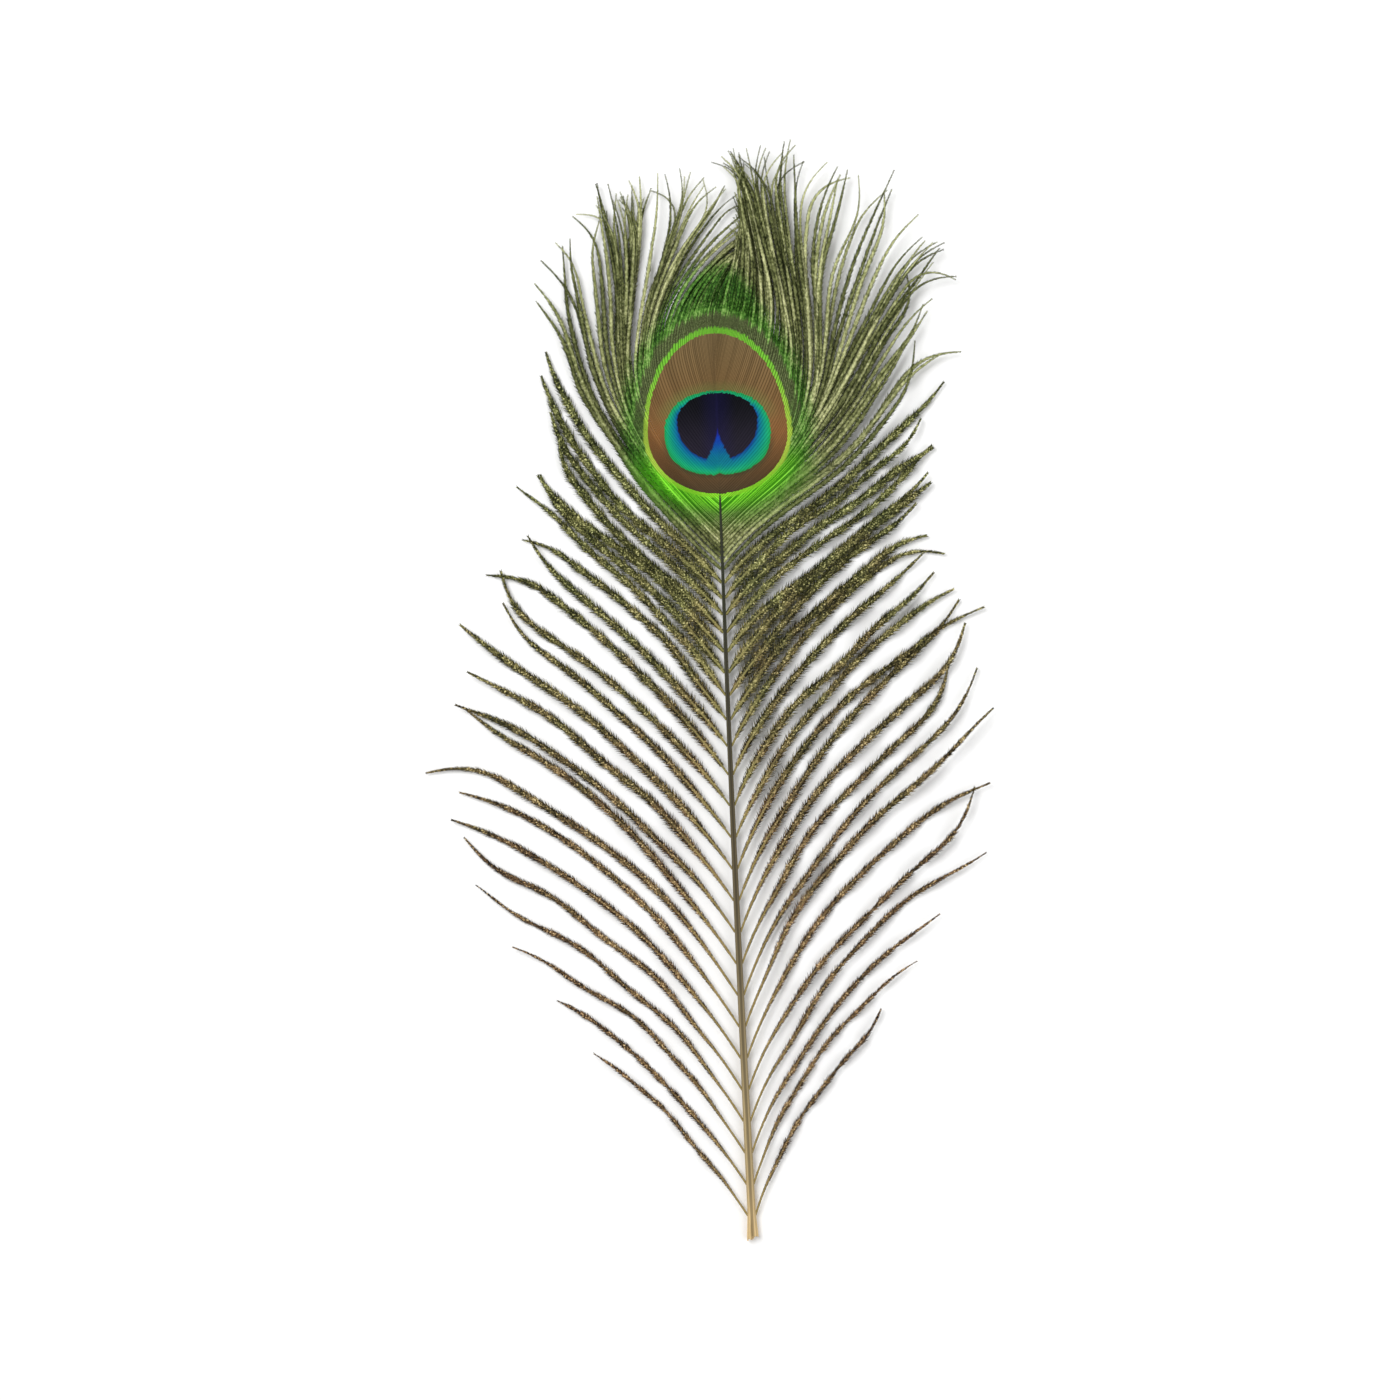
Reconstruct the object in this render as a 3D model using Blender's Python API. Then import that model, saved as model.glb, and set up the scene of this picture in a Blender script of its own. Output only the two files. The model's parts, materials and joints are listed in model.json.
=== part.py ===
"""A cut peacock tail feather with its eye, lying face up on a flat surface.

Metres, +Z up.  The shaft runs along +Y from its cut end to its tip inside the eye.  The origin is
on the surface, under the middle of the feather's outline.

The solids are the shaft, every loose barb below the eye, and the two halves of the closed vane
round the eye, whose many fine barbs hold together and part only in the crown above it.  A loose
barb leaves the shaft as a bare stem, widens where its down starts and sinks to the surface.  A
vane is one thin solid that reaches its barbs' tips: flat underneath, highest along the shaft.
"""
import math

import bmesh
import bpy
import numpy as np

MM = 0.001
GAP = 0.3 * MM              # left between neighbouring solids

# Shaft: distance along it from the cut end, radius, and height of its axis above the surface.
SHAFT_LENGTH = 229 * MM
SHAFT_TAPER = np.array([
    (0, 1.55, 1.6),
    (7, 1.1, 1.7),
    (25, 1.1, 2.0),
    (90, 0.85, 3.0),
    (150, 0.6, 2.6),
    (190, 0.35, 1.9),
    (229, 0.2, 1.5),
]) * MM
SHAFT_BOW = 0.55 * MM       # how far its middle bends to the left
SHAFT_POINTS = 25

# Barbs at stations up the shaft: where the barb leaves it and the barb's length in millimetres,
# then the angle in degrees that it makes with the shaft, outwards being positive, at KNOTS even
# steps from its root to its tip.
KNOTS = 7
LEFT_BARBS = np.array([
    (6, 62, 31, 34, 37, 41, 44, 48, 52),
    (30, 94, 31, 35, 40, 46, 53, 60, 66),
    (60, 103, 31, 36, 41, 46, 52, 57, 62),
    (100, 94, 33, 38, 43, 47, 51, 54, 56),
    (130, 78, 36, 40, 44, 47, 49, 48, 45),
    (155, 71, 38, 42, 46, 47, 47, 42, 30),
    (166, 74, 39, 44, 47, 41, 33, 28, 20),
    (175, 88, 41, 42, 38, 31, 22, 13, 6),
    (181, 92, 43, 40, 34, 22, 9, 4, 2),
    (187, 98, 46, 39, 24, 4, -6, -8, -4),
    (191, 95, 47, 37, 20, -6, -14, -13, -8),
    (196.5, 88, 43, 37, 17, -8, -19, -21, -18),
    (202, 81, 35, 31, 15, -10, -23, -26, -23),
    (211, 64, 20, 18, 9, -6, -20, -25, -22),
    (220, 46, 9, 7, 2, -7, -16, -20, -18),
    (230, 33, 3, -3, -7, -11, -14, -15, -14),
])
RIGHT_BARBS = np.array([
    (6, 62, 19, 26, 32, 38, 43, 48, 52),
    (30, 94, 22, 29, 35, 42, 48, 52, 54),
    (60, 103, 22, 28, 35, 42, 48, 52, 55),
    (100, 94, 25, 33, 40, 46, 50, 54, 58),
    (130, 78, 30, 39, 45, 49, 52, 56, 60),
    (156, 72, 38, 45, 51, 54, 54, 52, 46),
    (171.7, 79, 39, 50, 56, 54, 48, 42, 30),
    (179, 84, 42, 52, 54, 45, 36, 32, 28),
    (184.2, 92, 46, 51, 42, 30, 24, 24, 22),
    (187.5, 98, 49, 49, 27, 10, 6, 8, 8),
    (191, 103, 50, 46, 17, 2, -2, 0, 2),
    (199, 90, 43, 38, 19, -1, -6, -5, -3),
    (206, 78, 34, 28, 18, 4, -4, -5, -4),
    (217, 54, 22, 18, 15, 11, 6, 3, 3),
    (230, 33, 8, 12, 16, 17, 16, 14, 12),
])
FIRST_BARB = 6              # millimetres from the cut end
VANE_START = 174            # the first barb of the closed vane
VANE_END = 230              # the barb that carries on from the shaft's tip
WIDE_PITCH = 8.2            # between loose barbs, up to PITCH_NARROWS
PITCH_NARROWS = 110
CLOSE_PITCH = 3.4           # between the last loose barbs

BARB_POINTS = 11
STEM_RADIUS = 0.35 * MM     # the bare stem at a barb's root
DOWN_RADIUS = 1.0 * MM      # the stem with its down
TIP_RADIUS = 0.3 * MM
STEM_SHARE = 0.1            # the share of a barb that is bare
DOWN_SHARES = (0.3, 0.85)   # the shares between which its down is at its widest
LANDING_SHARE = 0.35        # the share of a barb over which it comes down from the shaft's height

VANE_TIP_THICKNESS = 0.8 * MM
VANE_ROOT_COVER = 0.6 * MM  # a vane's height above the shaft's axis, where they meet
VANE_ROWS = 18              # barbs that the sheet of a vane follows
VANE_COLUMNS = 12           # steps along each of them
TUFTS = 3                   # tufts that the crown's tips gather into, on each side
TUFT_DEPTH = 0.05           # the share of their length by which barbs between two tufts are shorter

SHAFT_COLOUR = (0.42, 0.33, 0.21)
BARB_COLOUR = (0.09, 0.10, 0.03)
VANE_COLOUR = (0.05, 0.10, 0.07)


def shaft_radius(along):
    return np.interp(along, SHAFT_TAPER[:, 0], SHAFT_TAPER[:, 1])


def shaft_point(along):
    """The point of the shaft's axis at this distance from the cut end."""
    share = along / SHAFT_LENGTH
    sideways = -SHAFT_BOW * math.sin(share * math.pi)
    return sideways, along, float(np.interp(along, SHAFT_TAPER[:, 0], SHAFT_TAPER[:, 2]))


def barb_path(start, side, points, clearance=GAP, shorter=0):
    """Points, seen from above, along the barb that leaves the shaft `start` mm from the cut end.

    shorter is the share of its length that the barb lacks.
    """
    table = LEFT_BARBS if side < 0 else RIGHT_BARBS
    length, *knots = (np.interp(start, table[:, 0], column) for column in table[:, 1:].T)
    step = length * (1 - shorter) * MM / (points - 1)
    x, y, _ = shaft_point(start * MM)
    x += side * (shaft_radius(start * MM) + clearance)
    path = [(x, y)]
    for index in range(points - 1):
        share = (index + 0.5) / (points - 1)
        angle = math.radians(np.interp(share * (KNOTS - 1), range(KNOTS), knots))
        x += side * math.sin(angle) * step
        y += math.cos(angle) * step
        path.append((x, y))
    return path


def loose_barb_starts():
    """Where the loose barbs leave the shaft, in millimetres: closer together towards the eye."""
    starts = [FIRST_BARB]
    while starts[-1] < VANE_START - 2 * CLOSE_PITCH:
        pitch = np.interp(starts[-1], (PITCH_NARROWS, VANE_START), (WIDE_PITCH, CLOSE_PITCH))
        starts.append(starts[-1] + pitch)
    return starts


def vane_rows(side):
    """Where the barbs of a vane's rows leave the shaft, and their paths.

    The barbs between two tufts are shorter.
    """
    rows = []
    for row, start in enumerate(np.linspace(VANE_START, VANE_END, VANE_ROWS)):
        between_tufts = math.sin(math.pi * TUFTS * row / (VANE_ROWS - 1)) ** 2
        path = barb_path(start, side, VANE_COLUMNS + 1, shorter=TUFT_DEPTH * between_tufts)
        rows.append((start, path))
    return rows


def outline_middle():
    """The middle of the box round the cut end and every barb, seen from above."""
    points = [(0, 0)]
    for side in (-1, 1):
        for start in loose_barb_starts():
            points += barb_path(start, side, BARB_POINTS)
        for _, path in vane_rows(side):
            points += path
    across, along = np.array(points).T
    return (across.min() + across.max()) / 2, (along.min() + along.max()) / 2


MIDDLE_X, MIDDLE_Y = outline_middle()


def placed(x, y, z):
    """A point of the feather, moved so that the origin is under its middle."""
    return x - MIDDLE_X, y - MIDDLE_Y, z


def material(name, colour, roughness):
    """A Principled BSDF with one colour."""
    made = bpy.data.materials.new(name)
    made.use_nodes = True
    shader = made.node_tree.nodes["Principled BSDF"]
    shader.inputs["Base Color"].default_value = (*colour, 1)
    shader.inputs["Roughness"].default_value = roughness
    shader.inputs["Metallic"].default_value = 0
    return made


def add_object(name, data, finish):
    data.materials.append(finish)
    made = bpy.data.objects.new(name, data)
    bpy.context.collection.objects.link(made)


def rod(name, points, radii, resolution, finish):
    """A solid rod through these points, as a bevelled curve with filled ends."""
    curve = bpy.data.curves.new(name, "CURVE")
    curve.dimensions = "3D"
    curve.bevel_depth = 1
    curve.bevel_resolution = resolution
    curve.use_fill_caps = True
    spline = curve.splines.new("POLY")
    spline.points.add(len(points) - 1)
    spline.use_smooth = True
    for point, place, radius in zip(spline.points, points, radii):
        point.co = (*placed(*place), 1)
        point.radius = radius
    add_object(name, curve, finish)


def shaft():
    """The quill and the rachis above it: one horny rod that tapers from the cut end to the eye."""
    stations = np.linspace(0, SHAFT_LENGTH, SHAFT_POINTS)
    points = [shaft_point(along) for along in stations]
    rod("shaft", points, shaft_radius(stations), 3, material("shaft_horn", SHAFT_COLOUR, 0.45))


def loose_barb(name, start, side, finish):
    """One barb with its down, from its stem at the shaft to its tip on the surface."""
    shares = np.linspace(0, 1, BARB_POINTS)
    radii = np.interp(shares, (0, STEM_SHARE, *DOWN_SHARES, 1),
                      (STEM_RADIUS, STEM_RADIUS, DOWN_RADIUS, DOWN_RADIUS, TIP_RADIUS))
    root_height = shaft_point(start * MM)[2]
    drop = (1 - np.minimum(shares / LANDING_SHARE, 1)) ** 2
    heights = radii + (root_height - radii) * drop
    path = barb_path(start, side, BARB_POINTS, GAP + STEM_RADIUS)
    points = [(x, y, z) for (x, y), z in zip(path, heights)]
    rod(name, points, radii, 1, finish)


def vane(name, side, finish):
    """Half of the closed vane: a sheet over its barbs' paths, closed by a flat underside.

    A row of the sheet's vertices follows one barb from the shaft to its tip.
    """
    mesh = bmesh.new()
    sheet = bmesh.ops.create_grid(mesh, x_segments=VANE_COLUMNS, y_segments=VANE_ROWS - 1, size=1)["verts"]
    for row, (start, path) in enumerate(vane_rows(side)):
        root_height = shaft_point(start * MM)[2] + VANE_ROOT_COVER
        for column, (x, y) in enumerate(path):
            drop = (1 - min(column / VANE_COLUMNS / LANDING_SHARE, 1)) ** 2
            height = VANE_TIP_THICKNESS + (root_height - VANE_TIP_THICKNESS) * drop
            sheet[row * (VANE_COLUMNS + 1) + column].co = placed(x, y, height)
    under = bmesh.ops.extrude_face_region(mesh, geom=list(mesh.faces), use_keep_orig=True)["geom"]
    for vertex in under:
        if isinstance(vertex, bmesh.types.BMVert):
            vertex.co.z = 0
    underside = [face for face in under if isinstance(face, bmesh.types.BMFace)]
    bmesh.ops.dissolve_faces(mesh, faces=underside)
    bmesh.ops.recalc_face_normals(mesh, faces=mesh.faces)
    data = bpy.data.meshes.new(name)
    mesh.to_mesh(data)
    mesh.free()
    data.shade_smooth()
    data.set_sharp_from_angle(angle=math.radians(40))
    add_object(name, data, finish)


def build():
    shaft()
    barb_finish = material("loose_barbs", BARB_COLOUR, 0.7)
    vane_finish = material("eye_vane", VANE_COLOUR, 0.5)
    for side, word in ((-1, "left"), (1, "right")):
        vane("eye_vane_" + word, side, vane_finish)
        for count, start in enumerate(loose_barb_starts(), 1):
            loose_barb(f"{word}_barb_{count:02}", start, side, barb_finish)


for leftover in list(bpy.data.objects):
    bpy.data.objects.remove(leftover, do_unlink=True)
build()
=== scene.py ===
import json
import math

import bmesh
import bpy
import numpy as np
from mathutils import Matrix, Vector

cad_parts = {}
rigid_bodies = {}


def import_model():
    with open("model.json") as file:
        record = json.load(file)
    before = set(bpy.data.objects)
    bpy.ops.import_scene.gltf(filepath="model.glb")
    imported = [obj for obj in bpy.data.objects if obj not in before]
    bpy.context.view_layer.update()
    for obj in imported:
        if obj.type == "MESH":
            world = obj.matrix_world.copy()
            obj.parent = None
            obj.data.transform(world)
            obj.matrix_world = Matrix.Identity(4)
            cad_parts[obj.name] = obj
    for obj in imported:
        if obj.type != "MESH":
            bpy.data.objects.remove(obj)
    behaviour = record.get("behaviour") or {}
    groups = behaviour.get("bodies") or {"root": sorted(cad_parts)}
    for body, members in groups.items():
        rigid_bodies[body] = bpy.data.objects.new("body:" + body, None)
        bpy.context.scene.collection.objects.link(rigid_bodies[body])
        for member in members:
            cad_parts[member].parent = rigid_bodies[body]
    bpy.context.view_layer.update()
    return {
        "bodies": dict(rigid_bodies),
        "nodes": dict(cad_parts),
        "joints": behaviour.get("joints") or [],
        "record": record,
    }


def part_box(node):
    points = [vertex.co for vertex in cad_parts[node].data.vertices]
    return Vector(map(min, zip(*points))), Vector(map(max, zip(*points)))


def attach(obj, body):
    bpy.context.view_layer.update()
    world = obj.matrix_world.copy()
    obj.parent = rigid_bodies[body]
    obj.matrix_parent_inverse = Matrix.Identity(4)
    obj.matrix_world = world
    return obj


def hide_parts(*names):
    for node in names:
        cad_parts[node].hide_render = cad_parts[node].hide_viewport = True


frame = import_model()


# ---------------------------------------------------------------------------------------------
# The shaft: one horny rod.  The quill is round where it was cut, and the cut crushed and split
# it into two halves.  Above it the rachis is filled with pith, squarer at the sides where the
# barbs are set, and thins out into the eye.  Long fibres run through the horn from end to end.

MM = 0.001
QUILL_RADIUS = 1.55 * MM
SHAFT_BOW = 0.55 * MM           # how far the middle bends to the left
SHAFT_TAPER = np.array([        # distance from the cut end, radius, height of the axis
    (0, 1.55, 1.6),
    (7, 1.1, 1.7),
    (25, 1.1, 2.0),
    (90, 0.85, 3.0),
    (150, 0.6, 2.6),
    (190, 0.35, 1.9),
    (229, 0.2, 1.5),
]) * MM
SHAFT_SIDES = 28
SHAFT_RINGS = 90
SPLIT_LENGTH = 8 * MM           # how far up from the cut the quill has split
SPLIT_ANGLE = 0.35              # radians from the top of the shaft to the split, to the left
HALVES_APART = 0.7 * MM         # the right half broke off this much shorter
RAGGED = 0.22 * MM              # how uneven the cut is
TORN_LENGTH = 3 * MM            # how far up the shaft the uneven cut pulls its surface
SHELF_ANGLE = 0.95              # radians from the top to the edge that the barbs grow from
TOP = math.pi / 2               # angles are counted round the shaft from its right side
SHARP_BEND = math.radians(50)   # the surface is smooth where it bends less than this
PITH_SHARES = ((0.0, 0.8), (1.2, 0.7), (1.6, 0.3))      # depth in the cut in mm, share of the radius

shaft_low, shaft_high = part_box("shaft")
SHAFT_LENGTH = shaft_high.y - shaft_low.y
FOOT_X = shaft_high.x - QUILL_RADIUS
FOOT_Y = shaft_low.y


def shaft_radius(along):
    return np.interp(along, SHAFT_TAPER[:, 0], SHAFT_TAPER[:, 1])


def shaft_axis(along):
    """The point or points of the shaft's axis at this distance from the cut end."""
    share = np.asarray(along) / SHAFT_LENGTH
    sideways = -SHAFT_BOW * np.sin(share * math.pi)
    height = np.interp(along, SHAFT_TAPER[:, 0], SHAFT_TAPER[:, 2])
    return np.stack([FOOT_X + sideways, FOOT_Y + share * SHAFT_LENGTH, height], axis=-1)


def smooth(value, low, high):
    """0 at low, 1 at high and smooth between, for numbers and arrays."""
    share = np.clip((value - low) / (high - low), 0, 1)
    return share * share * (3 - 2 * share)


def dent(angle, middle, width):
    """1 where the angle round the shaft is the middle one, falling to 0 within about this width."""
    return math.exp(-(math.sin((angle - middle) / 2) / width * 2) ** 2)


def shaft_section(angle, along):
    """How far the surface is from the axis at this angle round it."""
    squarer = 0.09 * min(along / (40 * MM), 1)
    split = max(1 - along / SPLIT_LENGTH, 0) ** 0.6
    shelves = dent(angle, TOP - SHELF_ANGLE, 0.3) + dent(angle, TOP + SHELF_ANGLE, 0.3)
    groove = dent(angle, TOP + SPLIT_ANGLE, 0.22) * 0.55 * split + dent(angle, -TOP, 0.4) * 0.15
    crushed = 1 - 0.22 * split * math.sin(angle) ** 2
    outline = 1 - squarer * math.cos(4 * angle) - 0.1 * shelves - groove
    return shaft_radius(along) * crushed * outline


def shaft_mesh():
    """A tube from the upper end down to the cut, and on into the hollow of the cut."""
    mesh = bmesh.new()
    around = mesh.verts.layers.float.new("around")
    luck = np.random.default_rng(3)
    rings = [(share ** 1.25 * SHAFT_LENGTH, 1) for share in np.linspace(1, 0, SHAFT_RINGS)]
    rings += [(depth * MM, share) for depth, share in PITH_SHARES]
    torn = luck.normal(0, RAGGED, SHAFT_SIDES)
    bmesh.ops.create_circle(mesh, segments=SHAFT_SIDES, radius=QUILL_RADIUS, cap_ends=True)
    loop = sorted(mesh.verts, key=lambda vertex: math.atan2(vertex.co.y, vertex.co.x))
    edges = list(mesh.edges)
    for number, (along, size) in enumerate(rings):
        if number:
            grown = bmesh.ops.extrude_edge_only(mesh, edges=edges)["geom"]
            edges = [part for part in grown if isinstance(part, bmesh.types.BMEdge)]
            fresh = [part for part in grown if isinstance(part, bmesh.types.BMVert)]
            loop = [min(fresh, key=lambda new: (new.co - old.co).length) for old in loop]
        centre = Vector(shaft_axis(along))
        near_cut = max(1 - along / TORN_LENGTH, 0)
        for place, vertex in enumerate(loop):
            angle = (place / SHAFT_SIDES * 2 - 1) * math.pi
            reach = shaft_section(angle, along) * size
            shorter = HALVES_APART * smooth(math.cos(angle - SPLIT_ANGLE), -0.1, 0.2) + torn[place]
            outward = Vector((math.cos(angle), 0, math.sin(angle)))
            vertex.co = centre + outward * reach + Vector((0, shorter * near_cut, 0))
            vertex[around] = angle
    bmesh.ops.contextual_create(mesh, geom=loop)
    bmesh.ops.recalc_face_normals(mesh, faces=mesh.faces)
    # Extruding leaves the faces in any order, so they are put in one down the shaft.
    mesh.faces.sort(key=lambda face: face.calc_center_median().dot((0.02, -1, 0.05)))
    return mesh


class Wire:
    """The output of a shader node.  Arithmetic on it adds Math nodes to its finish."""

    def __init__(self, finish, socket):
        self.finish = finish
        self.socket = socket

    def math(self, operation, *operands):
        values = dict(enumerate(operands))
        return self.finish.node("ShaderNodeMath", {"operation": operation}, values)

    def __add__(self, other):
        return self.math("ADD", self, other)

    def __sub__(self, other):
        return self.math("SUBTRACT", self, other)

    def __rsub__(self, other):
        return self.math("SUBTRACT", other, self)

    def __mul__(self, other):
        return self.math("MULTIPLY", self, other)

    def __truediv__(self, other):
        return self.math("DIVIDE", self, other)

    def __pow__(self, other):
        return self.math("POWER", self, other)

    def __gt__(self, other):
        return self.math("GREATER_THAN", self, other)

    def __lt__(self, other):
        return self.math("LESS_THAN", self, other)

    def __abs__(self):
        return self.math("ABSOLUTE", self)

    __radd__ = __add__
    __rmul__ = __mul__

    def rise(self, low, high):
        """0 up to low, 1 from high and smooth between; the other way where high is the smaller."""
        values = {"Value": self, "From Min": low, "From Max": high}
        return self.finish.node("ShaderNodeMapRange", {"interpolation_type": "SMOOTHSTEP"}, values)


class Finish:
    """A material under construction."""

    def __init__(self, name, **fixed):
        self.material = bpy.data.materials.new(name)
        self.material.use_nodes = True
        self.tree = self.material.node_tree
        self.shader = self.tree.nodes["Principled BSDF"]
        self.set_inputs(self.shader, {key.replace("_", " "): value for key, value in fixed.items()})

    def set_inputs(self, node, values):
        for key, value in values.items():
            if isinstance(value, Wire):
                self.tree.links.new(value.socket, node.inputs[key])
            else:
                node.inputs[key].default_value = value

    def node(self, kind, settings, values, output=0):
        """Adds a node: its settings first, then its sockets' values and links."""
        node = self.tree.nodes.new(kind)
        for key, value in settings.items():
            setattr(node, key, value)
        self.set_inputs(node, values)
        return Wire(self, node.outputs[output])

    def mix(self, share, first, second):
        """From the first colour at share 0 to the second at 1; a Mix node's colours are 6 and 7."""
        values = {"Factor": share, 6: dyed(first), 7: dyed(second)}
        return self.node("ShaderNodeMix", {"data_type": "RGBA"}, values, output=2)

    def ramp(self, share, *stops):
        """A colour from stops of a place from 0 to 1 and a colour."""
        made = self.node("ShaderNodeValToRGB", {}, {"Fac": share})
        elements = made.socket.node.color_ramp.elements
        for place, colour in stops[1:-1]:
            elements.new(place)
        for element, (place, colour) in zip(elements, stops):
            element.position = place
            element.color = dyed(colour)
        return made

    def shaded(self, colour, factor):
        """The colour made lighter or darker by a factor."""
        return self.node("ShaderNodeVectorMath", {"operation": "SCALE"}, {0: colour, "Scale": factor})

    def noise(self, place, scale, detail=2, roughness=0.5):
        values = {"Vector": place, "Scale": scale, "Detail": detail, "Roughness": roughness}
        return self.node("ShaderNodeTexNoise", {}, values)

    def place(self, stretch=(1, 1, 1)):
        """The object's own coordinates, stretched."""
        spot = self.node("ShaderNodeTexCoord", {}, {}, output="Object")
        return self.node("ShaderNodeMapping", {}, {"Vector": spot, "Scale": stretch})

    def attribute(self, name, output="Vector"):
        return self.node("ShaderNodeAttribute", {"attribute_name": name}, {}, output)

    def parts(self, vector):
        """The three numbers of a vector."""
        split = self.node("ShaderNodeSeparateXYZ", {}, {"Vector": vector})
        return [Wire(self, output) for output in split.socket.node.outputs]

    def vector(self, x, y, z):
        return self.node("ShaderNodeCombineXYZ", {}, {"X": x, "Y": y, "Z": z})

    def bump(self, height, strength, distance):
        values = {"Height": height, "Strength": strength, "Distance": distance}
        return self.node("ShaderNodeBump", {}, values)

    def paint(self, colour, roughness, normal):
        self.set_inputs(self.shader, {"Base Color": colour, "Roughness": roughness, "Normal": normal})
        return self.material


def dye(red, green, blue):
    """A colour from display values of 0 to 255, as the linear values that a shader takes."""
    shares = np.array((red, green, blue)) / 255
    return tuple(np.where(shares < 0.04045, shares / 12.92, ((shares + 0.055) / 1.055) ** 2.4))


def dyed(colour):
    """A colour as a colour socket takes it."""
    return colour if isinstance(colour, Wire) else (*colour, 1)


def horn():
    """Horn: straw-coloured at the quill, grey-brown and then dark green up the rachis, streaked, paler at
    the sides than on top, with painted shade in its grooves and split.
    """
    finish = Finish("horn", IOR=1.5, Specular_IOR_Level=0.15)
    along = (finish.parts(finish.place())[1] - FOOT_Y) / SHAFT_LENGTH
    around = finish.attribute("around", "Fac")
    fibres = finish.noise(finish.vector(around * 5, along * 12, 0), 1, 3, 0.65)
    blotches = finish.noise(finish.place((1, 0.3, 1)), 180, 3, 0.6)
    colour = finish.ramp(
        along + (blotches - 0.5) * 0.1,
        (0.00, dye(208, 180, 130)),
        (0.10, dye(166, 147, 108)),
        (0.30, dye(116, 104, 78)),
        (0.44, dye(90, 80, 58)),
        (0.60, dye(68, 64, 48)),
        (0.74, dye(48, 50, 34)),
        (0.95, dye(36, 44, 28)),
    )
    # Paler at the sides than on top; painted shade darkens the grooves along the shelves and the split at
    # the cut.
    from_top = abs(around - TOP)
    shoulders = from_top.rise(0.15, 0.6)
    shelves = abs(from_top - SHELF_ANGLE).rise(0.25, 0.05)
    split = abs(around - (TOP + SPLIT_ANGLE)).rise(0.3, 0.05) * along.rise(0.03, 0.012)
    groove_shade_and_pale_sides = 0.58 + shoulders * 0.76 - shelves * 0.4 - split * 0.35
    streaked = finish.shaded(colour, groove_shade_and_pale_sides * (0.5 + fibres * 0.9))
    return finish.paint(streaked, 0.38 + fibres * 0.22, finish.bump(fibres, 0.6, 0.08 * MM))


def add_piece(name, mesh, finish, node):
    """Makes a finished mesh a piece of the feather that stands for this CAD node."""
    made = bpy.data.objects.new(name, mesh)
    made.data.materials.append(finish)
    bpy.context.collection.objects.link(made)
    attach(made, "root")
    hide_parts(node)


shaft_shape = bpy.data.meshes.new("feather_shaft")
rod = shaft_mesh()
rod.to_mesh(shaft_shape)
rod.free()
shaft_shape.shade_smooth()
shaft_shape.set_sharp_from_angle(angle=SHARP_BEND)
add_piece("feather_shaft", shaft_shape, horn(), "shaft")


# ---------------------------------------------------------------------------------------------
# The loose barbs: thin stems set in pairs along the shaft below the eye.  Each stem starts bare
# and then carries two rows of silky down, slightly twisted, bronze below and greener above.
# They aren't hooked together, so each lies a little differently and curls at its tip.

# Barbs at stations up the shaft: where the barb leaves it and its length in millimetres, then the
# angle in degrees that it makes with the shaft at KNOTS even steps from its root to its tip.
KNOTS = 7
LEFT_BARBS = np.array([
    (6, 62, 31, 34, 37, 41, 44, 48, 52),
    (30, 94, 29, 35, 41, 48, 55, 62, 68),
    (60, 103, 30, 36, 42, 47, 53, 58, 62),
    (100, 94, 33, 38, 42, 46, 51, 54, 54),
    (130, 78, 34, 37, 40, 45, 49, 46, 38),
    (142, 76, 32, 35, 39, 46, 48, 44, 32),
    (154.6, 70, 38, 42, 46, 47, 48, 43, 28),
    (159, 70, 38, 43, 47, 45, 42, 36, 27),
    (166, 74, 39, 44, 47, 41, 33, 28, 20),
    (171.7, 77, 40, 43, 42, 36, 34, 22, 2),
    (175, 88, 41, 42, 38, 31, 22, 13, 3),
    (178, 92, 42, 41, 36, 27, 12, 9, 22),
    (181, 92, 43, 40, 34, 24, 9, 6, 12),
    (184, 94, 45, 39, 28, 7, -5, 2, 18),
    (187, 93, 46, 39, 24, 2, -8, -2, 12),
    (189.7, 90, 47, 39, 24, 2, -9, -9, -2),
    (190.7, 93, 47, 37, 20, -9, -22, -18, 8),
    (194, 91, 45, 38, 19, -10, -21, -26, -20),
    (196.5, 87, 43, 37, 17, -10, -24, -32, -30),
    (199, 86, 41, 34, 16, -14, -30, -38, -38),
    (202, 79, 35, 31, 15, -20, -40, -52, -58),
    (206, 71, 27, 24, 11, -20, -44, -58, -66),
    (211, 62, 19, 16, 8, -17, -44, -60, -68),
    (217, 50, 10, 8, 3, -12, -34, -50, -60),
    (223, 40, 2, -2, -8, -17, -27, -36, -42),
    (230, 34, -8, -14, -20, -24, -26, -25, -22),
])
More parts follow.
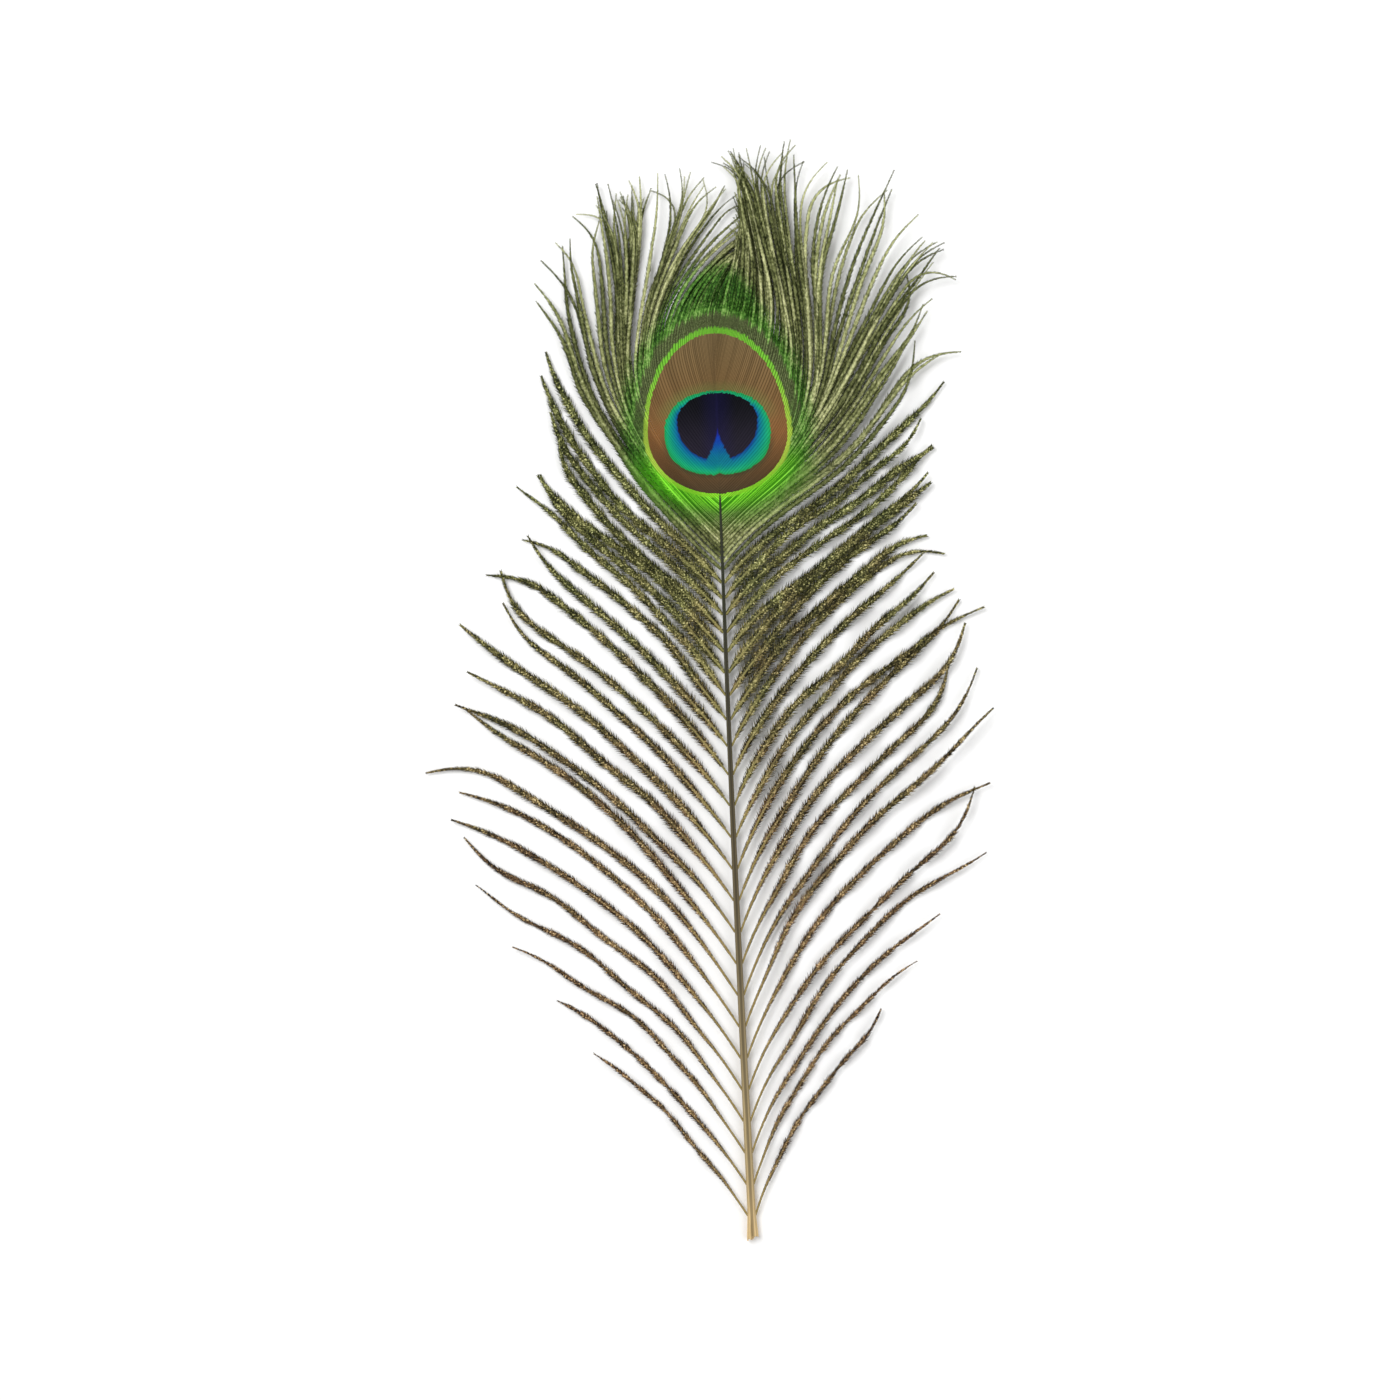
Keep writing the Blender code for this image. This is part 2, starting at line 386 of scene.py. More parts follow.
RIGHT_BARBS = np.array([
    (6, 62, 19, 26, 32, 38, 43, 48, 52),
    (30, 94, 22, 29, 36, 43, 52, 56, 54),
    (60, 103, 21, 29, 37, 44, 49, 50, 46),
    (100, 94, 23, 31, 38, 45, 52, 52, 46),
    (124, 78, 24, 36, 43, 49, 52, 55, 60),
    (136, 71, 34, 38, 44, 50, 52, 55, 62),
    (148, 69, 37, 43, 47, 51, 54, 56, 58),
    (156, 72, 38, 46, 53, 56, 55, 50, 44),
    (164.5, 73, 38, 47, 55, 58, 57, 53, 42),
    (171.7, 79, 39, 51, 57, 55, 49, 42, 26),
    (177.3, 79, 41, 53, 58, 49, 35, 36, 50),
    (181.7, 83, 43, 54, 53, 40, 34, 36, 50),
    (184.2, 94, 47, 52, 41, 32, 30, 41, 60),
    (185.6, 91, 49, 50, 38, 32, 29, 32, 42),
    (186.6, 101, 49, 50, 29, 13, 18, 25, 12),
    (187.5, 96, 49, 49, 29, 5, 1, 19, 20),
    (188.5, 101, 50, 48, 20, 1, -5, 4, 18),
    (190, 101, 50, 46, 12, -1, -7, -5, 10),
    (194, 96, 48, 43, 16, -6, -9, -6, 0),
    (199, 90, 43, 38, 20, -5, -12, -10, -12),
    (202, 86, 39, 34, 21, -1, -12, -15, -16),
    (206, 80, 34, 28, 18, 1, -11, -16, -18),
    (211, 69, 28, 23, 17, 7, -4, -10, -12),
    (217, 56, 22, 18, 15, 11, 3, -4, -7),
    (223, 43, 14, 14, 15, 15, 12, 6, 0),
    (230, 33, 8, 12, 16, 18, 17, 12, 6),
])
FIRST_BARB = 6
VANE_START = 174                # the first barb of the closed vane
WIDE_PITCH = 8.2                # between loose barbs, up to PITCH_NARROWS
PITCH_NARROWS = 110
CLOSE_PITCH = 3.4               # between the last loose barbs
BARB_STEPS = 60
STEM_RADIUS = 0.27 * MM
FLUE_CORE = 0.6 * MM            # half the width over which the down is too dense to see through
DOWN_PITCH = 0.13 * MM          # from one barbule to the next in a row
DOWN_LENGTH = 2.0 * MM
DOWN_GROWTH = np.array([        # up the shaft, and how much of DOWN_LENGTH the down has there
    (6, 0.75),
    (60, 1.15),
    (140, 1.5),
])
DOWN_ONSET = np.array([         # up the shaft, and the shares of a stem where its down starts and is full
    (60, 0.06, 0.34),
    (150, -0.05, 0.1),
])
DOWN_WIDTH = 0.17 * MM
BARE_SHARE = 0.03               # the share of a stem before its down starts
BELLY = 0.42                    # where along a barbule it is widest
DROOP = 0.12                    # how far a barbule's tip hangs, as a share of its length
MARK_UNIT = 2 * MM              # the unit in which a mark says how far it is from the stem
RESTING_HEIGHT = 1.2 * MM
LOOSE_LOFT = 1.5 * MM           # how far a barb rises and falls above that
LOOSE_WAVER = 6.5               # degrees that a barb strays from its course
LOOSE_CURL = 20                 # degrees that its tip curls to a side
FLOOR_CLEARANCE = 0.05 * MM

loose_starts = [FIRST_BARB]
while loose_starts[-1] < VANE_START - 2 * CLOSE_PITCH:
    pitch = np.interp(loose_starts[-1], (PITCH_NARROWS, VANE_START), (WIDE_PITCH, CLOSE_PITCH))
    loose_starts.append(loose_starts[-1] + pitch)

step_shares = np.linspace(0, 1, BARB_STEPS + 1)


def barb_lines(starts, side, turns=0, longer=1, inset=0.8):
    """The courses of barbs seen from above, as an array of barb by step by (x, y).

    turns, in degrees, is what each step turns away from the even course, outwards being positive.
    inset is how far from the shaft's axis the barbs start, in the shaft's radii.
    """
    starts = np.asarray(starts, float)
    table = LEFT_BARBS if side < 0 else RIGHT_BARBS
    columns = np.stack([np.interp(starts, table[:, 0], column) for column in table.T[1:]], axis=-1)
    length = columns[:, :1] * longer
    share = (np.arange(BARB_STEPS) + 0.5) / BARB_STEPS
    weights = (1 - abs(share[:, None] * (KNOTS - 1) - np.arange(KNOTS))).clip(0)
    angles = np.radians(columns[:, 1:] @ weights.T + turns)
    steps = np.stack([side * np.sin(angles), np.cos(angles)], axis=-1)
    steps *= length[..., None] * MM / BARB_STEPS
    roots = shaft_axis(starts * MM)[:, :2]
    roots[:, 0] += side * shaft_radius(starts * MM) * inset
    return np.concatenate([roots[:, None], roots[:, None] + np.cumsum(steps, axis=1)], axis=1)


def waves(luck, count, height, lengths):
    """Soft random waves along each of several barbs, with about this height in all."""
    total = np.zeros((count, BARB_STEPS + 1))
    for crests in lengths:
        size = luck.normal(0, height / len(lengths), (count, 1))
        total += size * np.sin(math.tau * (crests * step_shares + luck.random((count, 1))))
    return total


def along_line(line, share):
    """The values of a line's points at these shares of its steps."""
    return np.stack([np.interp(share, step_shares, values) for values in line.T], axis=-1)


def unit(vectors):
    return vectors / np.linalg.norm(vectors, axis=-1, keepdims=True)


def turned(first, second, angle):
    """Two directions at right angles, both turned by this angle from the first to the second."""
    cosine = np.cos(angle)
    sine = np.sin(angle)
    return first * cosine + second * sine, second * cosine - first * sine


def directions(line, roll):
    """Forwards, across and up from a line, rolled about it by this many radians at each step."""
    forward = unit(np.gradient(line, axis=0))
    across = unit(np.cross(forward, (0, 0, 1)))
    upward = np.cross(across, forward)
    return forward, *turned(across, upward, roll[:, None])


def spread(*values):
    """Numbers and arrays of one shape as the last axis of one array."""
    return np.stack(np.broadcast_arrays(*values), axis=-1)


def ribbon(line, frame, half_width, half_height, chance, index):
    """A closed four-sided tube along a line, flat where it is wider than high.

    Returns its corners, their marks and map places and its faces.  A mark holds the share along
    the barb, the distance across it in MARK_UNIT, always under 1, and the barb's chance.
    """
    forward, across, upward = frame
    wide = across * half_width[:, None]
    high = upward * half_height[:, None]
    corners = np.stack([line + wide, line + high, line - wide, line - high], axis=1)
    sideways = np.array([1, 0, -1, 0])
    along = step_shares[:, None]
    marks = spread(along, sideways * half_width[:, None] / MARK_UNIT, chance)
    places = spread(along, index + 0.25 + 0.2 * sideways)
    ring = np.arange(4)
    first = 4 * np.arange(BARB_STEPS)[:, None]
    following = (ring + 1) % 4
    sides = np.stack([first + ring, first + 4 + ring, first + 4 + following, first + following], axis=-1)
    ends = np.array([ring, 4 * BARB_STEPS + ring[::-1]])
    faces = np.concatenate([sides.reshape(-1, 4), ends])
    return corners.reshape(-1, 3), marks.reshape(-1, 3), places.reshape(-1, 2), faces


def down(line, frame, luck, first, pitch, reach, width, lean, index, tone, likeness):
    """Two rows of barbules along a line, each a closed leaf of four corners and four faces.

    Returns what ribbon does.  A mark holds the share along the barb, the share along the barbule
    from 1 at its root to 2 at its tip, and the barbule's own chance, drawn towards its barb's
    tone by the share likeness.
    """
    length = np.linalg.norm(np.diff(line, axis=0), axis=1).sum()
    count = int(length * (1 - first) / pitch)
    shapes, marks, places = [], [], []
    for row in (-1, 1):
        share = first + (1 - first) * (np.arange(count) + luck.random(count)) / count
        forward, across, upward = (along_line(part, share) for part in frame)
        outward, facing = turned(across, upward, luck.normal(0, 0.25, (count, 1)))
        outward = outward * row
        angle = np.radians(lean(share) + luck.normal(0, 6, count))[:, None]
        direction = forward * np.cos(angle) + outward * np.sin(angle)
        edge, facing = turned(np.cross(direction, facing), facing, luck.normal(0, 0.5, (count, 1)))
        size = (reach(share) * luck.uniform(0.72, 1.1, count))[:, None]
        root = along_line(line, share) + outward * STEM_RADIUS * 0.4
        belly = root + direction * size * BELLY + facing * width * 0.15
        tip = root + (direction - np.array([0, 0, DROOP])) * size
        half = edge * width / 2
        shapes.append(np.stack([root, belly + half, tip, belly - half], axis=1))
        lengthwise = np.array([1, 1 + BELLY, 2, 1 + BELLY])
        chance = tone * likeness + luck.random((count, 1)) * (1 - likeness)
        marks.append(spread(share[:, None], lengthwise, chance))
        cell = 0.45 * (1 - first) / count * np.array([0, 1, 0, -1])
        strip = index + 0.74 + row * (0.02 + 0.2 * (lengthwise - 1))
        places.append(spread(share[:, None] + cell, strip))
    corners = np.concatenate(shapes)
    leaf = np.array([(0, 1, 3), (2, 3, 1), (0, 3, 2), (0, 2, 1)])
    faces = 4 * np.arange(len(corners))[:, None, None] + leaf
    return (corners.reshape(-1, 3), np.concatenate(marks).reshape(-1, 3),
            np.concatenate(places).reshape(-1, 2), faces.reshape(-1, 3))


def joined(name, parts, strips, **extra):
    """One mesh of many small closed shapes, with their marks as an attribute and a map of strips."""
    faces, total = [], 0
    for corners, marks, places, corner_faces in parts:
        faces += (corner_faces + total).tolist()
        total += len(corners)
    corners, marks, places = (np.concatenate(kind) for kind in list(zip(*parts))[:3])
    corners[:, 2] = np.maximum(corners[:, 2], FLOOR_CLEARANCE)
    mesh = bpy.data.meshes.new(name)
    mesh.from_pydata(corners.tolist(), [], faces)
    for key, values in {"barb": marks, **extra}.items():
        mesh.attributes.new(key, "FLOAT_VECTOR", "POINT").data.foreach_set("vector", values.ravel())
    corner_of_loop = np.empty(len(mesh.loops), int)
    mesh.loops.foreach_get("vertex_index", corner_of_loop)
    unrolled = places / (1, strips)
    mesh.uv_layers.new(name="OFBake").data.foreach_set("uv", unrolled[corner_of_loop].ravel())
    return mesh


def downy():
    """Loose down: a pale stem, barbules bright where they leave it, and dark at their tips, with painted
    glints and painted shade along the edges of each core.
    """
    finish = Finish("loose_down", Specular_IOR_Level=0.08)
    along, across, chance = finish.parts(finish.attribute("barb"))
    height = (finish.parts(finish.place())[1] - FOOT_Y) / SHAFT_LENGTH
    clumps = finish.noise(finish.place(), 120, 2, 0.6)
    patches = finish.noise(finish.place(), 300, 1)
    specks = finish.noise(finish.place(), 2300, 1)
    upper = (height + (clumps - 0.5) * 0.5).rise(0.3, 0.95)
    is_down = across > 0.995
    from_stem = abs(across) * 2
    flecks = finish.noise(finish.vector(along * 300 - from_stem * 3, across * 6, chance * 40), 1, 1)
    own = chance * is_down + flecks * (1 - is_down)
    # Each barb's and barbule's own tone, with painted glints in bright specks and the top stops of the
    # ramps, and painted shade along the core's edges.
    tone_and_painted_glint = 0.45 + (own - 0.5) * 0.6 + (patches - 0.5) * 0.7 + (specks - 0.5) * 1.6
    tone_and_painted_glint = tone_and_painted_glint + specks.rise(0.6, 0.72) * 0.3 - abs(across).rise(0.15, 0.3) * (1 - is_down) * 0.15

    bronze = finish.ramp(
        tone_and_painted_glint,
        (0.0, dye(17, 13, 8)),
        (0.35, dye(62, 47, 33)),
        (0.62, dye(126, 98, 68)),
        (0.82, dye(180, 144, 104)),
        (1.0, dye(232, 206, 156)),
    )
    olive = finish.ramp(
        tone_and_painted_glint,
        (0.0, dye(18, 22, 9)),
        (0.35, dye(62, 66, 34)),
        (0.62, dye(120, 124, 72)),
        (0.82, dye(166, 168, 104)),
        (1.0, dye(220, 220, 154)),
    )
    bright = finish.mix(upper, bronze, olive)
    dark = finish.mix(upper, dye(34, 27, 17), dye(32, 38, 16))
    tips = (across - 1).rise(0.3, 0.9) * is_down
    barbule = finish.mix(tips * 0.8, bright, dark)
    stalk = finish.mix(upper, dye(158, 140, 88), dye(128, 130, 78))
    stem_shows = from_stem.rise(0.3, 0.16) * (1 - is_down)
    bareness = along.rise(0.3, 0.06) * 0.7 + along.rise(0.9, 0.3) * (1 - upper) * 0.3
    colour = finish.mix(stem_shows * bareness, barbule, stalk)
    grain = finish.noise(finish.place(), 5200, 2)
    return finish.paint(colour, 0.4 + grain * 0.25, finish.bump(grain, 0.3, 0.03 * MM))


def loose_barbs():
    """Every loose barb as a piece of its own, in place of its solid."""
    finish = downy()
    count = len(loose_starts)
    down_lengths = DOWN_LENGTH * np.interp(loose_starts, DOWN_GROWTH[:, 0], DOWN_GROWTH[:, 1])
    onset, filled = (np.interp(loose_starts, DOWN_ONSET[:, 0], column) for column in DOWN_ONSET.T[1:])
    for side, word in ((-1, "left"), (1, "right")):
        luck = np.random.default_rng(40 + side)
        curl = luck.normal(0, LOOSE_CURL, (count, 1)) * smooth(step_shares, 0.78, 1)
        turns = waves(luck, count, LOOSE_WAVER, (0.7, 1.6, 2.9)) + curl
        turns *= smooth(step_shares, 0, 0.25)
        flat = barb_lines(loose_starts, side, turns[:, 1:], luck.uniform(0.93, 1.05, (count, 1)))
        roots = shaft_axis(np.array(loose_starts) * MM)[:, 2:]
        resting = RESTING_HEIGHT + np.abs(waves(luck, count, LOOSE_LOFT, (0.6, 1.7)))
        height = resting + (roots - resting) * (1 - smooth(step_shares, 0, 0.4))
        for index in range(count):
            line = np.column_stack([flat[index], height[index]])
            rocking = luck.uniform(0.5, 0.95) * smooth(step_shares, 0.1, 0.4)
            crests = luck.uniform(4, 7)
            roll = rocking * np.sin(math.tau * (crests * step_shares + luck.random()))
            frame = directions(line, roll)
            full = down_lengths[index] * luck.uniform(0.9, 1.1)
            thinning = luck.uniform(0.68, 0.85)

            def reach(share):
                grown = 0.2 + 0.8 * smooth(share, onset[index], filled[index])
                return full * grown * (1 - 0.85 * smooth(share, thinning, 1.03))

            def lean(share):
                return 44 - 14 * share

            tone = luck.random()
            stem = STEM_RADIUS * (1 - 0.72 * step_shares)
            flue = np.maximum(stem, FLUE_CORE / DOWN_LENGTH * reach(step_shares))
            parts = [
                ribbon(line, frame, flue, stem, tone, 0),
                down(line, frame, luck, BARE_SHARE, DOWN_PITCH, reach, DOWN_WIDTH, lean, 0, tone, 0.2),
            ]
            node = f"{word}_barb_{index + 1:02}"
            add_piece(node + "_downy", joined(node, parts, 1), finish, node)


loose_barbs()


# ---------------------------------------------------------------------------------------------
# The eye: the close-set barbs round the shaft's end.  Up to a rim just outside the green ring
# their barbules hook together, so each barb is a flat ribbon that laps over the next, and the
# rings of colour step from barb to barb.  Past the rim they part and fray out into the crown.

VANE_END = 229                  # nearly the shaft's own end
EYE_PITCHES = np.array([        # millimetres up the shaft, and from one barb to the next there
    (174, 1.8),
    (180, 1.1),
    (183.5, 0.45),
    (184.5, 0.22),
    (187.5, 0.22),
    (189, 0.38),
    (190.5, 0.56),
    (197, 0.8),
    (212, 0.66),
    (230, 0.7),
])
EYE_CENTRE = 209.2              # millimetres up the shaft: the widest place of the brown disc
RIM_WIDTH, RIM_UP, RIM_DOWN = 22.0, 31.5, 27.0
DISC_WIDTH, DISC_UP, DISC_DOWN = 18.1, 26.0, 15.6
RING = 1.06                     # the outer edge of the green ring, as a share of the disc's size
POOL_WIDTH, POOL_UP, POOL_DOWN = 13.8, 11.1, 10.8
PUPIL_WIDTH, PUPIL_UP, PUPIL_DOWN = 10.4, 7.3, 10.0
PUPIL_CENTRE = 3.2              # above the eye's centre
LAP = 0.56                      # half a ribbon's width, as a share of the space between two
RIBBON_THICKNESS = 0.07 * MM
WIDEST_SPACE = 2.2 * MM         # that a ribbon can fill
TILT = 0.06 * MM                # how far one edge of a ribbon is raised and the other lowered
COVERED_FROM, COVERED_TO = 188, 200     # up the shaft, where the barbs close over it
VANE_HEIGHT = 1.6 * MM          # the closed vane above the table
CROWN_HEIGHTS = {"left": (1.0, 2.2), "right": (2.2, 3.6)}       # the right barbs lie over the left
CROWN_LOFT = 1.2 * MM           # how far they rise and fall along their length
CROWN_STEM = 0.16 * MM
CROWN_CORE = 0.4 * MM           # in the crown as FLUE_CORE is on a loose barb, and so on
CROWN_PITCH = 0.25 * MM
CROWN_REACH = 1.5 * MM
CROWN_GROWTH = np.array([       # up the shaft, and how much of CROWN_REACH the down has there
    (174, 1.5),
    (195, 1.0),
])
CROWN_WIDTH = 0.21 * MM
FREEING = 0.3                   # the share of a barb over which it comes loose
TUFT = 6                        # barbs that lean together
CROWN_WAVER = 4.5               # degrees that a barb strays from its course
CROWN_STRAY = 26                # degrees that its tip turns away

vane_starts = [VANE_START]
while vane_starts[-1] < VANE_END:
    pitch = np.interp(vane_starts[-1], EYE_PITCHES[:, 0], EYE_PITCHES[:, 1])
    vane_starts.append(vane_starts[-1] + pitch)


def eye_place(points):
    """Places in millimetres from the eye's centre."""
    return (points - shaft_axis(EYE_CENTRE * MM)[:2]) / MM


def openness(lines):
    """0 where the barbs are hooked together, 1 where they lie loose."""
    x, y = np.moveaxis(eye_place(lines), -1, 0)
    tall = np.where(y > 0, RIM_UP, RIM_DOWN)
    pointed = np.where(y > 0, 2.0, 1.5)
    rim = (np.abs(x) / RIM_WIDTH) ** pointed + (np.abs(y) / tall) ** pointed
    return smooth(rim, 0.92, 1.35)


def vane_courses(side, word, luck):
    """How the barbs lie: their points, how loose they are and the space between two, by steps."""
    count = len(vane_starts)
    starts = np.array(vane_starts)
    covering = smooth(starts, COVERED_FROM, COVERED_TO)
    inset = 0.8 - 1.9 * covering
    even = barb_lines(starts, side, inset=inset)
    loose = openness(even)
    at_rim = step_shares[np.argmax(loose > 0.5, axis=1)][:, None]
    past_rim = ((step_shares - at_rim) / (1 - at_rim)).clip(0, 1)

    leanings = luck.normal(0, 1, count // TUFT + 2)
    tuft = (np.arange(count) + luck.integers(0, TUFT)) // TUFT
    tuft_lean = leanings[tuft][:, None]
    in_tuft = ((np.arange(count) % TUFT) / (TUFT - 1) - 0.5)[:, None]
    turns = waves(luck, count, CROWN_WAVER, (0.8, 1.9, 3.1))
    turns += 2 * tuft_lean * past_rim
    turns += 5 * in_tuft * smooth(past_rim, 0.2, 0.9)
    turns += luck.normal(0, CROWN_STRAY, (count, 1)) * smooth(past_rim, 0.75, 1)
    longer = 1 + (0.025 * tuft_lean + luck.normal(0, 0.035, (count, 1))) * smooth(past_rim, 0, 0.3)
    flat = barb_lines(starts, side, (turns * loose)[:, 1:], longer[:, 1:], inset)
    loose = openness(flat)

    forward = unit(np.gradient(flat, axis=1))
    apart = np.gradient(even, axis=0)
    spacing = np.abs(forward[..., 0] * apart[..., 1] - forward[..., 1] * apart[..., 0])
    roots = shaft_axis(starts * MM)[:, 2] + shaft_radius(starts * MM) * 1.2 * covering + 0.1 * MM
    lowest = luck.uniform(*CROWN_HEIGHTS[word], (count, 1)) * MM
    lift = lowest + np.abs(waves(luck, count, CROWN_LOFT, (0.7, 1.8)))
    settled = VANE_HEIGHT + (lift - VANE_HEIGHT) * smooth(loose, 0.1, 1)
    height = settled + (roots[:, None] - settled) * (1 - smooth(step_shares, 0, 0.45))
    lines = np.concatenate([flat, height[..., None]], axis=-1)
    return lines, loose, spacing.clip(0, WIDEST_SPACE)


def vane(side, word, finish):
    """Half of the eye and its crown as one piece, barb after barb from the lowest up."""
    luck = np.random.default_rng(70 + side)
    lines, loose, spacing = vane_courses(side, word, luck)
    parts, colours = [], []
    for index, line in enumerate(lines):
        closed = 1 - loose[index]
        free = float(step_shares[np.argmax(loose[index] > 0.15)])
        full = CROWN_REACH * np.interp(vane_starts[index], CROWN_GROWTH[:, 0], CROWN_GROWTH[:, 1])
        thinning = luck.uniform(0.55, 0.78)

        def freed(share):
            return smooth(share, free, free + FREEING)

        def reach(share):
            grown = 0.7 + 0.3 * freed(share)
            return full * grown * (1 - 0.88 * smooth(share, thinning, 1.03))

        def lean(share):
            return 20 + 12 * freed(share) - 10 * share

        rocking = luck.uniform(0.2, 0.6) * freed(step_shares)
        roll = rocking * np.sin(math.tau * (4 * step_shares + luck.random()))
        frame = directions(line, roll)
        stem = CROWN_STEM * (1 - 0.6 * step_shares)
        core = np.maximum(CROWN_CORE / CROWN_REACH * reach(step_shares), stem)
        half_width = LAP * spacing[index] * closed + core * (1 - closed)
        half_height = np.maximum(stem * (1 - closed), RIBBON_THICKNESS)
        own = luck.random()
        leaf = ribbon(line, frame, half_width, half_height, own, index)
        tile = leaf[0].reshape(-1, 4, 3)
        tile[:, 0, 2] += side * TILT * closed
        tile[:, 2, 2] -= side * TILT * closed
        fringe = down(line, frame, luck, free, CROWN_PITCH, reach, CROWN_WIDTH, lean, index, own, 0.65)
        parts += [leaf, fringe]

        jitter = unit(np.gradient(line[:, :2], axis=0)) * luck.normal(0, 0.1)
        middle_place = eye_place(line[:, :2]) + jitter
        own_place = eye_place(tile[..., :2]) + jitter[:, None]
        mostly_own = 0.3 * middle_place[:, None] + 0.7 * own_place
        across = np.array([1.0, 0, -1, 0]) * closed[:, None]
        colours.append(np.concatenate([mostly_own, across[..., None]], axis=-1).reshape(-1, 3))
        fringe_place = along_line(middle_place, fringe[1][:, 0])
        colours.append(np.column_stack([fringe_place, np.zeros(len(fringe_place))]))
    mesh = joined("eye_vane_" + word, parts, len(lines), eye=np.concatenate(colours))
    add_piece(f"eye_vane_{word}_barbs", mesh, finish, "eye_vane_" + word)


def iridescent():
    """The eye's colours, ring by ring from the pupil out, and the olive and green of its crown."""
    finish = Finish("eye_barbs", Specular_IOR_Level=0.05)
    along, lengthwise, chance = finish.parts(finish.attribute("barb"))
    x, y, across = finish.parts(finish.attribute("eye"))
    x = abs(x)
    from_middle = abs(across)

    def oval(width, up, low, power, centre=0):
        """1 on an egg's outline, less inside and more outside."""
        tall = low + (y > centre) * (up - low)
        return ((x / width) ** power + (abs(y - centre) / tall) ** power) ** (1 / power)

    disc = oval(DISC_WIDTH, DISC_UP, DISC_DOWN, 2.0)
    pool = oval(POOL_WIDTH, POOL_UP, POOL_DOWN, 2.3) + x.rise(1.6, 0) * (y < 0) * 0.05
    pupil = oval(PUPIL_WIDTH, PUPIL_UP, PUPIL_DOWN, 2.1, PUPIL_CENTRE)
    depth = 0.7 - y
    notch = depth * 0.22 + depth * abs(depth) * 0.028 - x

    # Each barb and barbule has its own tone, with painted glints in bright specks and the top stops of
    # the green and olive ramps.
    is_down = lengthwise > 0.995
    mottle = finish.noise(finish.place(), 420, 3, 0.6)
    fleck_place = finish.vector(along * 260 - abs(lengthwise) * 8, lengthwise * 8, chance * 40)
    flecks = finish.noise(fleck_place, 1, 1)
    specks = finish.noise(finish.place(), 1500, 1)
    own = chance * (0.5 + is_down * 0.5) + flecks * (0.5 - is_down * 0.5)
    tone_and_painted_glint = 0.58 + (own - 0.5) * 0.9 + (mottle - 0.5) * 0.5 + (specks - 0.5) * 0.8
    striped = (flecks * 0.4 + chance * 0.6).rise(0.25, 0.75)

    # Outside the disc: olive strands, green where they leave the eye and lime in the V below it.
    green = finish.ramp(
        tone_and_painted_glint,
        (0.0, dye(12, 32, 4)),
        (0.4, dye(44, 84, 24)),
        (0.7, dye(92, 142, 56)),
        (1.0, dye(154, 190, 106)),
    )
    olive = finish.ramp(
        tone_and_painted_glint,
        (0.0, dye(26, 30, 14)),
        (0.35, dye(76, 81, 45)),
        (0.62, dye(128, 133, 84)),
        (1.0, dye(204, 206, 152)),
    )
    ragged = disc + (chance - 0.5) * 0.05 + (mottle - 0.5) * 0.1
    green_ends = 1.34 + y.rise(12, 30) * x.rise(16, 4) * 0.3 + (flecks - 0.5) * 0.3
    outside = finish.mix((ragged - green_ends).rise(-0.1, 0.16), green, olive)
    # Dark barbule tips, and painted shade darkening each ribbon towards its edges.
    tips = (lengthwise - 1).rise(0.15, 0.75) + abs(lengthwise).rise(0.1, 0.24) * (1 - is_down) * 0.7
    outside = finish.mix(tips * 0.85, outside, dye(24, 30, 13))
    v_green = finish.mix(striped, dye(54, 98, 20), dye(120, 168, 72))
    outside = finish.mix(disc.rise(1.75, 1.2) * y.rise(-3, -14) * 0.9, outside, v_green)
    v_lime = finish.mix(striped, dye(66, 158, 16), dye(134, 236, 50))
    outside = finish.mix(disc.rise(1.38, 1.1) * y.rise(-2, -13) * 0.9, outside, v_lime)
    band = finish.mix(flecks.rise(0.25, 0.75), dye(56, 64, 36), dye(106, 114, 74))
    outside = finish.mix(ragged.rise(1.235, 1.175) * y.rise(-6, 12) * 0.92, outside, band)

    # The lime ring, and the brown disc that is greyer and streaked above.
    lime = finish.mix(y.rise(-4, 20), dye(166, 196, 70), dye(112, 184, 54))
    lime = finish.mix(y.rise(-6, -15), lime, dye(130, 206, 44))
    # Painted shade darkens the ring towards each barb's edges.
    lime = finish.shaded(lime, 0.8 + flecks * 0.45 - from_middle.rise(0.4, 1.0) * 0.25)
    brown = finish.ramp(
        (y + 16) / 42,
        (0.00, dye(70, 58, 40)),
        (0.16, dye(92, 68, 42)),
        (0.38, dye(130, 90, 52)),
        (0.62, dye(122, 94, 58)),
        (1.00, dye(122, 102, 68)),
    )
    streaks = (chance * 1.4 - 0.55).rise(0, 0.6) * (y + 2).rise(0, 14)
    brown = finish.shaded(brown, 0.92 + flecks * 0.24 - streaks * 0.28)

    # The pool, the pupil and the blue notch in it.
    inward = (1 - pool) / (1 - pool + (pupil - 1))
    water = finish.ramp(
        inward * (1 - y.rise(5, 10) * 0.8),
        (0.00, dye(28, 146, 74)),
        (0.14, dye(24, 160, 106)),
        (0.45, dye(10, 134, 124)),
        (0.80, dye(8, 102, 142)),
        (1.00, dye(12, 50, 124)),
    )
    night = finish.mix(y.rise(-5, 9), dye(34, 30, 42), dye(10, 11, 17))
    night = finish.mix(x.rise(5.5, 0) * 0.3 + x.rise(0.5, 0) * 0.15, night, dye(28, 24, 78))
    blade = finish.ramp(
        depth / 11,
        (0.0, dye(26, 40, 174)),
        (0.3, dye(14, 70, 158)),
        (0.6, dye(8, 106, 136)),
        (1.0, dye(10, 128, 120)),
    )

    # All of them, each over the ones round it.
    colour = finish.mix((disc + (chance - 0.5) * 0.02).rise(RING - 0.01, RING + 0.014), lime, outside)
    colour = finish.mix(disc < 1, colour, brown)
    colour = finish.mix((disc < 1) * pool.rise(1.3, 1.0) * y.rise(2, 8) * 0.7, colour, dye(112, 112, 62))
    colour = finish.mix((disc < 1) * pool.rise(1.12, 1.0) * y.rise(2, -6) * 0.6, colour, dye(52, 60, 40))
    colour = finish.mix(pool < 1, colour, water)
    colour = finish.mix(pupil < 1, colour, night)
    colour = finish.mix((pool < 1) * notch.rise(-0.3, 0.3) * pupil.rise(1.3, 0.98), colour, blade)
